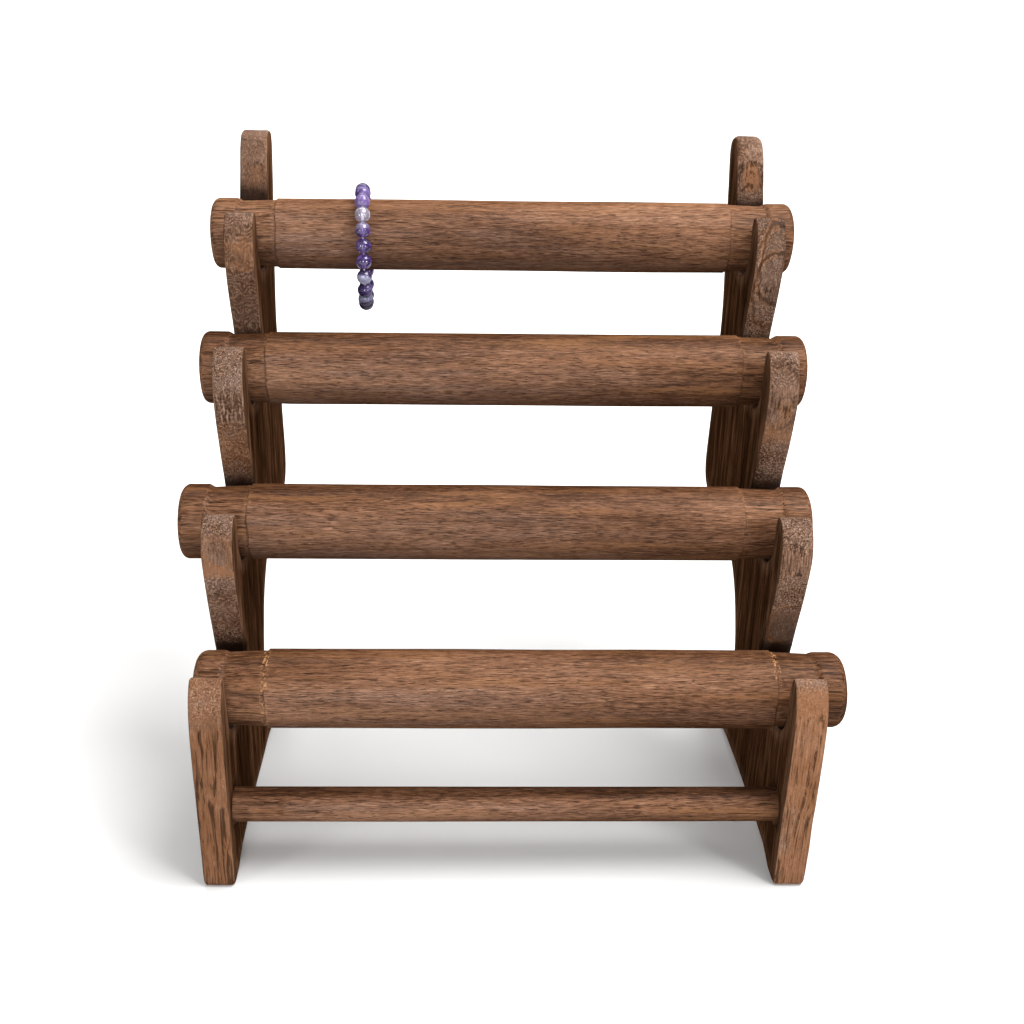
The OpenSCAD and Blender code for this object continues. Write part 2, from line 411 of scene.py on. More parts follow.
def boardFinish(name, look, shift, light=0.0):
    # the carving attribute says how much of finger-print lines, pebbles and streaks a place shows, toning
    # how rubbed, how dark (a darker tone, and painted shade at the foot of each front face and in the rail's
    # hole) and how near to an edge it is (low over the inner side, painted dark as shade), and knife how far
    # inside two layers of facets it lies (0.6 on their border) and how strong those are
    make = Finish(name)
    place = make.moved(shift)
    cloud = make.noise(place, *look["clouds"]) - 0.5
    labels = ("carving", "toning", "knife")
    fields = [make.add("ShaderNodeAttribute", output="Vector", attribute_name=label) for label in labels]
    split = [make.part(field, axis) for field in fields for axis in "XYZ"]
    whorl, pebble, streaky, rubbed = (make.step(value + cloud * 1.1, 0.22, 0.78) for value in split[:4])
    darkToneAndShade, edge = split[4] + cloud * split[4] * 1.2, split[5]
    ragged = cloud * 0.5
    facet = make.step(split[6] + ragged, 0.54, 0.66) * split[8]
    borders = [make.step(abs(value + ragged - 0.6), 0.1, 0.03) * split[8] for value in split[6:8]]

    field = (make.noise(place, *look["winding"]) - 0.5) * look["curl"] + make.part(place, "Z") * look["climb"]
    wave = (field * (2 * math.pi / look["lineGap"])).maths("SINE")
    line = make.step(wave, -0.5, 0.8) * (0.5 + make.spots(place, look["breaks"], 0.38, 0.6) * 0.5)
    fibre = make.wander(place, look["drift"], look["sway"])
    grain, thin, band, sideGrain = make.noises(fibre, look, "grain", "thin", "bands", "sideGrain")
    grit, base = make.noises(place, look, "grit", "base")

    tone = (0.5 + light + (base - 0.5) * 0.55 + whorl * (line - 0.45) * 0.2 + streaky * (grain - 0.5) * 1.0
            + (thin - 0.5) * 0.6 + (grit - 0.5) * (0.45 + pebble * 0.7))
    colour = make.ramp(look["colours"], tone)
    greyed = make.step(base + cloud * 0.4, 0.42, 0.62) * (0.25 + pebble * 0.35)
    half = make.blend(0.5, colour, look["greyed"])
    colour = make.blend(greyed * (1 - rubbed) * (1 - streaky), colour, half)
    colour = make.blend(facet * 0.7, colour, make.blend(0.45, colour, look["cut"]))
    colour = make.blend(rubbed * (0.9 - pebble * 0.3), colour, make.blend(0.4, look["rubbed"], colour))
    crack = make.spots(fibre, look["cracks"], 0.475, 0.395) * make.step(streaky, 0.55, 0.95) * (1 - whorl)
    # the pale speck layers are painted glints on grains of the end grain
    layers = [
        ("paintedGlint", pebble * make.step(grit, 0.57, 0.68) * 0.55),
        ("deep", pebble * make.step(grit, 0.43, 0.33) * 0.5),
        ("deep", streaky * make.step(grain, 0.42, 0.34) * 0.55),
        ("paintedGlint", streaky * whorl * make.step(grain, 0.53, 0.64) * 0.85),
        ("deep", crack * 0.72), *(("deep", border * 0.65) for border in borders)]
    for tint, share in layers:
        colour = make.blend(share, colour, look[tint])

    flat = make.step(abs(make.facing("X")), 0.45, 0.85)
    sideTone = 0.5 + (band - 0.5) * 0.8 + (sideGrain - 0.5) * 1.2
    # painted shade: where the edge share is low, as over most of the inner side, the flat sides take the dark
    # side colours
    shadedSideColour, edgeColour = (make.ramp(look[k], sideTone) for k in ("shadedSideColours", "edgeColours"))
    worn = make.step(edge + cloud * 0.5, 0.1, 0.9)
    colour = make.blend(flat, colour, make.blend(worn, shadedSideColour, edgeColour))
    scuffed = flat * (1 - flat) * make.step(base + cloud, 0.42, 0.56)
    colour = make.blend(scuffed * 2.2, colour, look["scuff"])
    # painted shade: the dark share, at the foot of each front face by the bar and in the rail's hole, darkens
    # towards the deep colour; elsewhere it is darker tone
    colour = make.blend(make.step(darkToneAndShade, 0.05, 0.95) * 0.93, colour, look["deep"])

    relief = whorl * line * 0.55 + pebble * grit * 1.4 + streaky * grain * 1.1 + thin * 0.35
    return make.oiled(colour, 0.6 + thin * 0.2, 1 - flat, relief * (1 - flat * 0.6), look)


# side boards

boards = dict(
    spacing=0.0009,  # between points along the outline
    cornerRounding=0.0012,  # width of the bell curve that rounds the outline's corners
    edge=0.0011,  # rounding of the long edges
    edgeAtTop=dict(side_board_left=0.0019, side_board_right=0.0036),  # and over the top of the post
    topZone=(0.312, 0.319),
    footEdge=0.0014,  # more rounding by the floor
    footZone=(0.001, 0.009),
    wear=0.0004,  # how much the rounding varies
    wearWaves=((0, 60), True),  # here and below (reach, closed, count) as in ripples
    wearBlur=0.002,
    carvingBlur=0.0012,
    tightShare=0.8,  # most of an outer corner's radius that the rounding may take
    relief=0.00032,  # depth of the hand-shaped hollows on the rim
    hollows=((1.3, 70), True, 22),
    plainFoot=0.012,  # height over which those hollows begin
    facetPower=2.4,  # 2 gives oval facets, more gives squarer ones
    cutMargin=0.0008,  # from the sides, over which the facets begin
    rimRings=13, arcRings=6,  # along the rim and in each quarter round beside it
    sideGrid=0.006,  # spacing of the points that fill the flat sides
    sideRelief=0.00018,
    sideWaves=((90, 90), False),
    paleEdge=(0.001, 0.009),  # how far in from their outline the sides are rubbed paler
    socketGap=0.00035,
    socketDepth=0.0085,
    socketPoints=72,
)

# where the front faces lie: y from and to, in mm
frontFaces = dict(leg=(-131, -105), second=(-75, -53.5), third=(-21, 0.4), top=(33, 54.4), post=(84, 115))

# how each front face is finished, from its foot up, in rows of
# (height in mm, then in per cent: finger-print lines, pebbles, streaks, rubbed, dark; the dark at each face's
# foot, by the bar, is painted shade)
carvings = dict(
    side_board_left=dict(
        leg=[
            (0, 10, 10, 90, 60, 30), (12, 0, 0, 100, 85, 20), (50, 0, 0, 100, 85, 30),
            (78, 0, 0, 100, 80, 30), (92, 20, 30, 60, 60, 15), (99, 30, 60, 10, 60, 5),
            (110, 30, 60, 0, 60, 0)],
        second=[
            (94, 0, 60, 0, 0, 100), (98, 10, 80, 0, 10, 60), (106, 20, 90, 0, 30, 15),
            (109, 90, 20, 0, 30, 10), (118, 100, 20, 0, 20, 0), (137, 100, 50, 0, 10, 0),
            (142, 20, 10, 10, 70, 0), (148, 30, 10, 30, 50, 0), (160, 40, 20, 40, 40, 0),
            (163, 20, 90, 0, 10, 10), (168, 20, 70, 0, 10, 15)],
        third=[
            (157, 0, 60, 0, 0, 100), (163, 0, 90, 0, 45, 60), (170, 10, 80, 0, 50, 30),
            (179, 70, 50, 0, 60, 5), (187, 80, 50, 0, 55, 0), (197, 90, 50, 30, 35, 5),
            (203, 90, 10, 100, 10, 0), (211, 90, 10, 90, 10, 0), (215, 20, 100, 10, 0, 0),
            (234, 20, 100, 0, 0, 0)],
        top=[
            (216, 0, 50, 0, 0, 100), (225, 60, 40, 0, 0, 50), (231, 100, 30, 0, 10, 10),
            (258, 100, 20, 0, 10, 5), (263, 70, 20, 10, 45, 0), (272, 65, 20, 20, 50, 0),
            (279, 90, 20, 0, 30, 0), (288, 100, 30, 0, 10, 10), (290, 50, 50, 0, 0, 30)],
        post=[
            (284, 0, 30, 0, 0, 100), (289, 20, 40, 10, 0, 90), (294, 30, 30, 30, 10, 55),
            (300, 20, 10, 50, 30, 10), (308, 30, 10, 40, 30, 0), (314, 60, 10, 10, 20, 0),
            (322, 50, 20, 0, 20, 0)]),
    side_board_right=dict(
        leg=[
            (0, 10, 10, 80, 60, 10), (10, 0, 0, 80, 75, 0), (50, 0, 10, 75, 90, 0),
            (70, 0, 10, 70, 80, 0), (95, 0, 15, 65, 75, 0), (107, 10, 40, 10, 70, 0),
            (110, 10, 50, 0, 40, 0)],
        second=[
            (94, 0, 30, 0, 0, 100), (99, 20, 30, 10, 10, 55), (116, 20, 30, 20, 20, 30),
            (119, 40, 90, 0, 20, 0), (138, 50, 80, 10, 20, 0), (143, 20, 20, 90, 20, 0),
            (155, 20, 30, 90, 20, 0), (159, 20, 90, 20, 0, 0), (168, 20, 90, 0, 0, 10)],
        third=[
            (157, 0, 40, 0, 0, 100), (163, 50, 60, 0, 10, 70), (170, 70, 60, 0, 15, 20),
            (184, 60, 60, 0, 20, 0), (190, 40, 30, 20, 52, 0), (200, 30, 20, 50, 45, 0),
            (203, 15, 15, 70, 15, 0), (216, 20, 20, 60, 10, 0), (220, 80, 40, 0, 15, 0),
            (231, 80, 50, 0, 10, 0), (234, 30, 60, 0, 10, 0)],
        top=[
            (220, 0, 50, 0, 0, 100), (226, 30, 80, 0, 0, 35), (240, 50, 90, 0, 10, 0),
            (248, 20, 20, 80, 10, 0), (260, 40, 30, 50, 10, 0), (268, 90, 50, 0, 10, 0),
            (280, 80, 50, 0, 10, 10), (289, 60, 50, 0, 0, 30)],
        post=[
            (286, 0, 60, 0, 0, 100), (291, 10, 80, 10, 10, 50), (296, 10, 20, 90, 20, 30),
            (309, 10, 10, 90, 20, 20), (312, 70, 10, 10, 30, 0), (322, 70, 20, 0, 20, 0)]),
)
elsewhere = (40, 50, 30, 20, 15)  # the same five shares away from the front faces

# shallow facets left by the knife, in mm: face, how far outwards of the board's middle, height, half width,
# half height, depth, how rubbed inside and along the inner border, how strongly its border shows, layer
facets = dict(
    side_board_left=[
        ("second", -0.5, 152, 4.5, 6, 0.25, 0.1, 0.3, 0.25, 0),
        ("third", 0, 206, 20, 7, 0.2, 0, 0, 0.15, 0), ("top", -2, 268, 7, 9, 0.3, 0.5, 0, 0.1, 0),
        ("post", 3, 309, 9, 9, 0.25, 0.1, 0, 0.3, 0), ("post", -1, 297, 5, 9, 0.25, 0.4, 0, 0.15, 1)],
    side_board_right=[
        ("second", 2, 110, 9, 12, 0.45, 0, 0.9, 0.5, 0),
        ("third", 0.5, 212, 8.5, 16, 0.4, 0.1, 0.3, 0.35, 0),
        ("third", 1.5, 205, 4, 9, 0.2, 0.5, 0.3, 0.2, 1), ("top", 4.4, 266, 8.8, 21, 0.9, 0, 1, 1.0, 0),
        ("top", 6.0, 252, 12.5, 21, 0.3, 0, 0.6, 0.8, 1),
        ("post", 0.4, 301.5, 4.6, 8.5, 0.5, 0.9, 0.2, 0.35, 0),
        ("leg", -4.5, 34, 3.5, 17, 0.2, 0.5, 0.3, 0.0, 0)],
)


def outlineOf(solid, side):
    # the outline of the solid's flat outer face as (y, z) rows in order, anticlockwise seen from +X
    points, triangles = np.empty((len(solid.data.vertices), 3)), np.empty((len(solid.data.polygons), 3), int)
    solid.data.vertices.foreach_get("co", points.ravel())
    solid.data.loops.foreach_get("vertex_index", triangles.ravel())
    outer = side * points[:, 0] > (side * points[:, 0]).max() - 1e-6
    triangles = triangles[outer[triangles].all(1)]
    spots, number = np.unique(np.round(points[:, 1:], 6), axis=0, return_inverse=True)
    triangles = number.reshape(-1)[triangles]
    starts, ends = triangles.ravel(), np.roll(triangles, -1, 1).ravel()
    lone = ~np.isin(starts * len(spots) + ends, ends * len(spots) + starts)
    starts, ends = starts[lone], ends[lone]
    # the edges that no other triangle shares, walked from end to end
    following = dict(zip(starts.tolist(), ends.tolist()))
    order = [int(starts[0])]
    while len(order) < len(starts):
        order.append(following[order[-1]])
    outline = spots[order]
    y, z = outline.T
    area = (y * np.roll(z, -1) - z * np.roll(y, -1)).sum()
    return outline if area > 0 else outline[::-1]


def resample(outline, spacing):
    # points at even distances along a closed outline
    closed = np.vstack([outline, outline[:1]])
    along = np.concatenate([[0], np.cumsum(np.linalg.norm(np.diff(closed, axis=0), axis=1))])
    count = int(along[-1] / spacing)
    at = np.arange(count) * along[-1] / count
    return np.column_stack([np.interp(at, along, closed[:, k]) for k in (0, 1)]), along[-1]


def bellSmooth(values, width, length):
    # a closed row of values blurred with a bell curve of that width
    turns = np.fft.fftfreq(len(values), 1 / len(values))
    return np.fft.ifft(np.fft.fft(values) * np.exp(-0.5 * (2 * np.pi * turns * width / length) ** 2))


def insideOf(points, outline):
    # crossing count of a ray along +y
    a, b = outline, np.roll(outline, -1, 0)
    y, z = points[:, :1], points[:, 1:]
    crosses = (a[:, 1] > z) != (b[:, 1] > z)
    slope = (b[:, 0] - a[:, 0]) / np.where(b[:, 1] == a[:, 1], 1, b[:, 1] - a[:, 1])
    return (crosses & (y < a[:, 0] + slope * (z - a[:, 1]))).sum(1) % 2 == 1


def fillSide(edge, hole, spacing):
    # triangles that fill the outline, apart from the hole, over a grid of inner points
    low, high = edge.min(0), edge.max(0)
    y, z = np.meshgrid(np.arange(low[0], high[0], spacing), np.arange(low[1], high[1], spacing))
    inner = np.column_stack([y.ravel(), z.ravel()])
    inner = inner[insideOf(inner, edge) & ~insideOf(inner, hole)]
    rims = np.vstack([edge, hole])
    inner = inner[((inner[:, None] - rims) ** 2).sum(2).min(1) > (0.6 * spacing) ** 2]
    points = np.vstack([rims, inner])
    rings = np.arange(len(edge)), np.arange(len(hole)) + len(edge)
    seams = np.vstack([np.column_stack([ring, np.roll(ring, -1)]) for ring in rings])
    net = geometry.delaunay_2d_cdt(points.tolist(), seams.tolist(), [], 0, 1e-8)
    origin = np.array([ids[0] for ids in net[3]])
    triangles = origin[np.array(net[2])]
    centres = points[triangles].mean(1)
    return points, triangles[insideOf(centres, edge) & ~insideOf(centres, hole)]


def carvingOf(node, curve, length, across):
    # rows of the carvings table looked up by height on each front face, blurred a little along the outline,
    # then the facets, each |a/A|^p + |b/B|^p < 1 with a soft border; returns the five shares, the facets'
    # depth, how far inside the facets of both layers each point lies and how strong they are
    y, z = curve.real * 1000, curve.imag * 1000
    shares = np.array([np.full(len(curve), v / 100) for v in elsewhere])
    within = {}
    for face, (low, high) in frontFaces.items():
        rows = np.array(carvings[node][face])
        within[face] = (y > low) & (y < high) & (z > rows[0, 0] - 8)
        for k in range(5):
            shares[k] = np.where(within[face], np.interp(z, rows[:, 0], rows[:, k + 1] / 100), shares[k])
    shares = np.array([bellSmooth(share, boards["carvingBlur"], length).real for share in shares])
    shares = shares[:, None, :] + 0 * across
    depth, knife = 0 * across, [0 * across for _ in range(3)]
    power = boards["facetPower"]
    for face, middle, height, halfWidth, halfHeight, cut, inside, border, strength, layer in facets[node]:
        aside = np.abs((across * 1000 - middle) / halfWidth)
        upwards = np.abs((z - height) / halfHeight)
        far = (aside ** power + upwards ** power) ** (1 / power)
        here = within[face] & (far < 3)
        inner = (1 - smoothStep(0.86, 1.06, far)) * here
        ring = smoothStep(0.78, 0.98, far) * (1 - smoothStep(1.04, 1.24, far)) * here
        ring = ring * (across * 1000 < middle)
        depth = depth + cut / 1000 * inner
        knife[layer] = np.maximum(knife[layer], np.clip(1.6 - far, 0, 1.2) * here)
        knife[2] = np.maximum(knife[2], strength * (1 - smoothStep(1.1, 1.5, far)) * here)
        shares[3] = np.maximum(shares[3] * (1 - inner * 0.5), np.maximum(inside * inner, border * ring))
    return np.clip(shares, 0, 1), depth, np.array(knife)


def wornEdge(node, curve, ahead, u, seed, length):
    # rounding of the long edges along the outline, never more than a tight outer corner can take
    heading = ahead / np.abs(ahead)
    bend = np.angle(np.roll(heading, -1) / heading) / (np.abs(ahead) / 2)  # above 0 on outer corners
    worn = boards["edge"] + boards["wear"] * ripples(seed, 0, u, *boards["wearWaves"])
    top = smoothStep(*boards["topZone"], curve.imag)
    worn = worn * (1 - top) + boards["edgeAtTop"][node] * top
    worn = worn + boards["footEdge"] * (1 - smoothStep(*boards["footZone"], curve.imag))
    tightest = np.max([np.roll(bend, k) for k in range(-4, 5)], axis=0)
    worn = np.minimum(worn, boards["tightShare"] / np.maximum(tightest, 1))
    return bellSmooth(worn, boards["wearBlur"], length).real


def crossRings(worn, half):
    # how far in and where across the thickness each ring lies: w (1 - sin a) and h - w (1 - cos a) over a
    # quarter round, then the rim, then the other quarter round
    quarter = np.linspace(0, np.pi / 2, boards["arcRings"])
    rounds = [(worn * (1 - np.sin(a)), half - worn * (1 - np.cos(a))) for a in quarter]
    rim = [(worn * 0, (half - worn) * share) for share in np.linspace(1, -1, boards["rimRings"] + 2)[1:-1]]
    return np.array(rounds + rim + [(far, -place) for far, place in rounds[::-1]]).swapaxes(0, 1)


def addPoints(board, points, toning):
    # points of the board that aren't carved; returns their numbers
    count = len(points)
    for label, values in (("points", points), ("carving", np.zeros((count, 3))), ("toning", toning)):
        board[label] = np.vstack([board[label], values])
    return np.arange(count) + len(board["points"]) - count


def sinkSocket(board, mouth, hole, middle, mouthX, depth):
    # a blind hole for the rail: a wall from the mouth's points to its floor, and the floor as a fan
    floor = np.column_stack([np.full(len(hole) + 1, mouthX + depth), np.vstack([hole, middle])])
    # the hole's points are toned 0.9 dark, painted shade inside the hole
    *bottom, tip = addPoints(board, floor, np.tile((0, 0.9, 0), (len(floor), 1)))
    nextMouth, nextBottom = np.roll(mouth, -1), np.roll(bottom, -1)
    walls = np.concatenate([np.stack([mouth, nextMouth, nextBottom], -1),
                            np.stack([mouth, nextBottom, bottom], -1), fanFaces(np.array(bottom), tip)])
    board["triangles"].append(walls[:, ::-1] if depth > 0 else walls)  # the right board is mirrored


def shapeBoard(name, node, side, seed, finish):
    # the outline's points P(u), moved inwards by d(v) while x(v) runs across the thickness; d and x trace a
    # quarter round, the rim and another quarter round, and both flat sides are then filled
    low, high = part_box(node)
    outerX, innerX = (low[0], high[0]) if side < 0 else (high[0], low[0])
    middle, half = (outerX + innerX) / 2, abs(outerX - innerX) / 2
    outline, length = resample(outlineOf(solids[node], side), boards["spacing"])
    curve = bellSmooth(outline[:, 0] + 1j * outline[:, 1], boards["cornerRounding"], length)
    ahead = np.roll(curve, -1) - np.roll(curve, 1)
    inward = ahead / np.abs(ahead) * 1j
    count = len(curve)
    u = np.arange(count) / count * 2 * np.pi
    worn = wornEdge(node, curve, ahead, u, seed, length)

    inset, across = crossRings(worn, half)  # across runs from the outer side to the inner one
    hollow = between(seed + 1, across / half * 2.2, u, *boards["hollows"])
    hollow = hollow * smoothStep(0, boards["plainFoot"], curve.imag)
    shares, cut, knife = carvingOf(node, curve, length, across)
    cut = cut * smoothStep(0, boards["cutMargin"], half - np.abs(across))
    inset = inset + boards["relief"] * np.clip(hollow, 0, 1.4) + cut
    flat = curve + inward * inset
    rings = np.stack([middle + side * across, flat.real, np.maximum(flat.imag, 0)], -1)
    rows = len(rings)
    board = dict(points=rings.reshape(-1, 3), carving=shares[:3].reshape(3, -1).T, triangles=[],
                 toning=np.stack([shares[3], shares[4], np.ones(inset.shape)], -1).reshape(-1, 3))

    # the outer side, then the inner side with the rail's socket in it
    socketMiddle, railRadius = rodOf("rail")[:2]
    turn = circle(boards["socketPoints"])
    hole = socketMiddle + (railRadius + boards["socketGap"]) * np.column_stack([np.cos(turn), np.sin(turn)])
    for row, opening, sign in ((0, hole[:0], 1), (rows - 1, hole, -1)):
        filled, faces = fillSide(rings[row, :, 1:], opening, boards["sideGrid"])
        extra = filled[count:]
        x = np.full(len(extra), rings[row, :, 0].mean())
        away = np.sqrt(((extra[:, None] - filled[:count]) ** 2).sum(2).min(1))
        wave = between(seed + 2 + sign, extra[:, 0], extra[:, 1], *boards["sideWaves"])
        x -= sign * side * boards["sideRelief"] * wave * smoothStep(0, boards["plainFoot"], away)
        # the inner side is painted dark, as shade, the outer one less so, and both are rubbed paler towards
        # their edges
        pale = np.maximum(1 - smoothStep(*boards["paleEdge"], away), 0.7 if row == 0 else 0.0)
        added = addPoints(board, np.column_stack([x, extra]), np.column_stack([0 * pale, 0 * pale, pale]))
        faces = np.concatenate([np.arange(count) + row * count, added])[faces]
        # all triangles of a side face the same way: out of the board
        wrong = normalOf(board["points"], faces)[:, 0] * sign * side < 0
        faces[wrong] = faces[wrong][:, ::-1]
        board["triangles"].append(faces)
        if len(opening):
            mouth = added[:len(hole)]
            sinkSocket(board, mouth, hole, socketMiddle, innerX, side * boards["socketDepth"])

    quads = gridFaces(rows, count, closeColumns=True)[:, ::-side]  # turned round on the right board
    triangles = np.concatenate(board["triangles"])
    piece = makePiece(name, board["points"], quads, triangles, finish, node)
    board["knife"] = np.vstack([knife.reshape(3, -1).T, np.zeros((len(board["points"]) - rows * count, 3))])
    for label in ("carving", "toning", "knife"):
        values = np.ascontiguousarray(board[label], np.float32).ravel()
        piece.data.attributes.new(label, "FLOAT_VECTOR", "POINT").data.foreach_set("vector", values)
    return piece


# bars and rail

bars = dict(
    along=172,  # points along a bar, apart from those about its necks
    around=144,
    neckPoints=64,  # about each neck
    neckMargin=0.004,  # by how much those reach past it
    thinnerOver=0.004,  # length over which a thinner knob begins
    roundPoints=9,  # of the quarter round at each end
    neckDepth=(0.0008, 0.0016),  # by the bar's body and by the knob
    neckLength=0.021,
    knobLength=0.0125,
    knobRound=dict(bar_bottom=0.0048, bar_second=0.0034, bar_third=0.0034, bar_top=0.0034),
    shoulder=(0.0007, 0.0034),  # length of the step from the neck up to the body and to the knob
    knobThinner=dict(bar_bottom=0.0007),
    waver=0.0007,  # how far the shoulders wander along the bar
    waverWaves=((0, 7), True),
    relief=0.00032,  # depth of the flats and dents
    flats=((70, 6), True, 20),
    chips=0.00025,
    chipWaves=((420, 22), True, 20),
    unevenEnd=0.0004,  # of the end faces
    endWaves=((160, 160), False),
)
rails = dict(along=220, around=72, roundPoints=5, roundEnd=0.0008, relief=0.00035, flats=((45, 4), True, 18))


def roundedEnds(body, end, rounding, radius, count):
    # s along a rod and its radius R - w (1 - c), where c is sin a over the first quarter round, 1 along the
    # body and cos a over the last quarter round
    quarter = np.linspace(0, np.pi / 2, count)
    s = np.concatenate([-end - rounding * np.cos(quarter[:-1]), body, end + rounding * np.sin(quarter[1:])])
    c = np.concatenate([np.sin(quarter[:-1]), np.ones(len(body)), np.cos(quarter[1:])])
    return s, radius - rounding * (1 - c)


def latheAlongX(name, node, x, radius, finish, centre):
    # point(s, t) = (x, yc + r cos t, zc + r sin t), closed with a point at each end
    rows, columns = radius.shape
    t = circle(columns)
    points = gridPoints(x, centre[0] + radius * np.cos(t), centre[1] + radius * np.sin(t))
    tips = np.array([[x[0].mean(), *centre], [x[-1].mean(), *centre]])
    first, last = np.arange(columns)[::-1], np.arange(columns) + (rows - 1) * columns
    triangles = np.concatenate([fanFaces(first, len(points)), fanFaces(last, len(points) + 1)])
    quads = gridFaces(rows, columns, closeColumns=True)
    return makePiece(name, np.vstack([points, tips]), quads, triangles, finish, node)


def shapeBar(name, node, seed, finish):
    # radius falls by neckDepth between the two shoulders of each neck, and in a quarter round at the ends
    centre, radius0, half, middle = rodOf(node)
    knobRound, roundPoints = bars["knobRound"][node], bars["roundPoints"]
    t = circle(bars["around"])
    cap = np.linspace(0, radius0 - knobRound, roundPoints)[1:-1]
    knob = half - knobRound
    neckOut = half - bars["knobLength"]
    neckIn = neckOut - bars["neckLength"]
    neck = np.linspace(neckIn - bars["neckMargin"], neckOut + bars["neckMargin"], bars["neckPoints"])
    body = np.unique(np.round(np.concatenate([np.linspace(-knob, knob, bars["along"]), neck, -neck]), 6))
    s, base = roundedEnds(body, knob, knobRound, radius0, roundPoints)
    s = np.concatenate([np.full(len(cap), -half), s, np.full(len(cap), half)])[:, None]
    base = np.concatenate([cap, base, cap[::-1]])[:, None]
    place = np.abs(s) + bars["waver"] * ripples(seed, s * 0, t, *bars["waverWaves"])
    towardsBody, towardsKnob = bars["shoulder"]
    inNeck = smoothStep(neckIn - towardsBody, neckIn, place)
    inNeck = inNeck * (1 - smoothStep(neckOut - towardsKnob, neckOut, place))
    share = np.clip((place - neckIn) / bars["neckLength"], 0, 1)
    neckDepth = bars["neckDepth"][0] * (1 - share) + bars["neckDepth"][1] * share
    flats = between(seed + 1, s, t, *bars["flats"])
    chips = np.clip(ripples(seed + 2, s, t, *bars["chipWaves"]) - 0.9, 0, 1)
    fade = np.clip(base / radius0 * 1.5 - 0.5, 0, 1)
    thinner = bars["knobThinner"].get(node, 0) * smoothStep(neckOut - bars["thinnerOver"], neckOut, np.abs(s))
    depth = neckDepth * inNeck + thinner + bars["relief"] * np.clip(flats, 0, 1.3) + bars["chips"] * chips
    radius = base - depth * fade
    uneven = between(seed + 3, base * np.cos(t), base * np.sin(t), *bars["endWaves"])
    x = middle + s - np.sign(s) * bars["unevenEnd"] * uneven * (np.abs(s) > knob)
    return latheAlongX(name, node, x, radius, finish, centre)


def shapeRail(name, node, seed, finish):
    # radius is lowered by soft flats, and by a quarter round at the ends
    centre, radius0, half, middle = rodOf(node)
    t = circle(rails["around"])
    end = half - rails["roundEnd"]
    body = np.linspace(-end, end, rails["along"])
    s, base = roundedEnds(body, end, rails["roundEnd"], radius0, rails["roundPoints"])
    flats = between(seed, s[:, None], t, *rails["flats"])
    radius = base[:, None] - rails["relief"] * np.clip(flats, 0, 1.3)
    return latheAlongX(name, node, middle + s[:, None] + 0 * radius, radius, finish, centre)


for side, node, seed, light in ((-1, "side_board_left", 11, 0.0), (1, "side_board_right", 29, 0.03)):
    finish = boardFinish(node + "_wood", boardLook, (0.37 * seed, 0.11 * seed, 0.05 * seed), light)
    shapeBoard(node + "_carved", node, side, seed, finish)
    print(node, "shaped")
for number, node in enumerate(("bar_bottom", "bar_second", "bar_third", "bar_top")):
    finish = barFinish(node + "_wood", node, barLook, 0.31 * number + 0.13)
    shapeBar(node + "_turned", node, 40 + 7 * number, finish)
    print(node, "shaped")
shapeRail("rail_dowel", "rail", 83, barFinish("rail_wood", "rail", barLook, 1.7))
print("rail shaped")


# bracelet

beads = dict(
    count=21, diameter=0.008, bore=0.0013,
    gap=0.00012,  # between neighbours
    seat=0.00025,  # above the bar
    firstAt=0.0047,  # of the first bead, from the loop's top towards the front
    hangX=-0.0748,
    turn=2.6, lean=0.8,  # degrees from square across the bar, and from upright
    around=64, alongShell=40, alongBore=8,
    boreEdge=0.00012,  # tiny round at each end of the hole
)


def braceletPath(place, loopRadius, drop):
    # a stadium hung over the bar: half turns of loopRadius joined by straight drops; place is measured from
    # its top towards the front; returns (y, z) and the heading as an angle in the y, z plane
    quarter = np.pi * loopRadius / 2
    bottom, back = quarter + drop, 3 * quarter + drop
    marks = [place < quarter, place < bottom, place < back, place < back + drop]
    bend = np.select(marks, [place, quarter, place - drop, 3 * quarter], place - 2 * drop) / loopRadius
    lowered = np.select(marks, [0, place - quarter, drop, drop + back - place], 0)
    return -loopRadius * np.sin(bend), loopRadius * np.cos(bend) - lowered, np.pi + bend


def drilledSphere(size):
    # r(a) = R sin a, h(a) = R cos a from the hole's edge at one end to its edge at the other, then back along
    # the bore; turned about the hole's axis
    ballRadius, boreRadius, lip = size["diameter"] / 2, size["bore"] / 2, size["boreEdge"]
    start = math.asin((boreRadius + lip) / ballRadius)
    a = np.linspace(start, np.pi - start, size["alongShell"])
    end = ballRadius * math.cos(start) - lip
    bore = np.linspace(-end, end, size["alongBore"])
    r = np.concatenate([ballRadius * np.sin(a), np.full(len(bore), boreRadius)])[:, None]
    h = np.concatenate([ballRadius * np.cos(a), bore])[:, None]
    t = circle(size["around"])
    faces = gridFaces(len(h), len(t), closeRows=True, closeColumns=True)
    return gridPoints(r * np.cos(t), r * np.sin(t), h), faces


